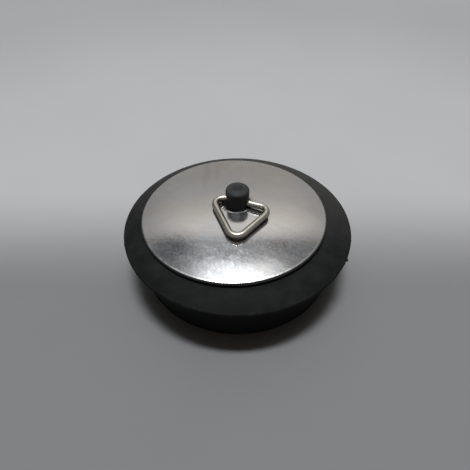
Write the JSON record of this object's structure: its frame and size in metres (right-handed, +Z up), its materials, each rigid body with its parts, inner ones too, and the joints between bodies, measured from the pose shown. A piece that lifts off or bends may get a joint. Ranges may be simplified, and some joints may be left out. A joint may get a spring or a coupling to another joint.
{
  "type": "drain stopper",
  "caption": "Round tapered rubber drain stopper with a flange, a domed steel cover plate and a triangular wire pull ring that swings on a short rubber post.",
  "frame": {"origin": "middle of the foot, on the surface that the stopper stands on", "axes": "+Z up along the plug's axis, -Y towards the side where the ring lies at rest"},
  "size_m": [0.05, 0.05, 0.0213],
  "materials": {
    "black_rubber": "matt moulded",
    "cover_steel": "polished, handled",
    "ring_wire": "bright nickel"
  },
  "bodies": {
    "stopper": {"plug_body": "black_rubber", "cover_plate": "cover_steel"},
    "ring": {"pull_ring": "ring_wire"}
  },
  "joints": [
    {"name": "ring_swing", "type": "hinge", "parent": "stopper", "child": "ring", "pos_m": [0, 0, 0.0178], "axis": [-0.9397, 0.342, 0], "range_deg": [0, 185.35]}
  ]
}
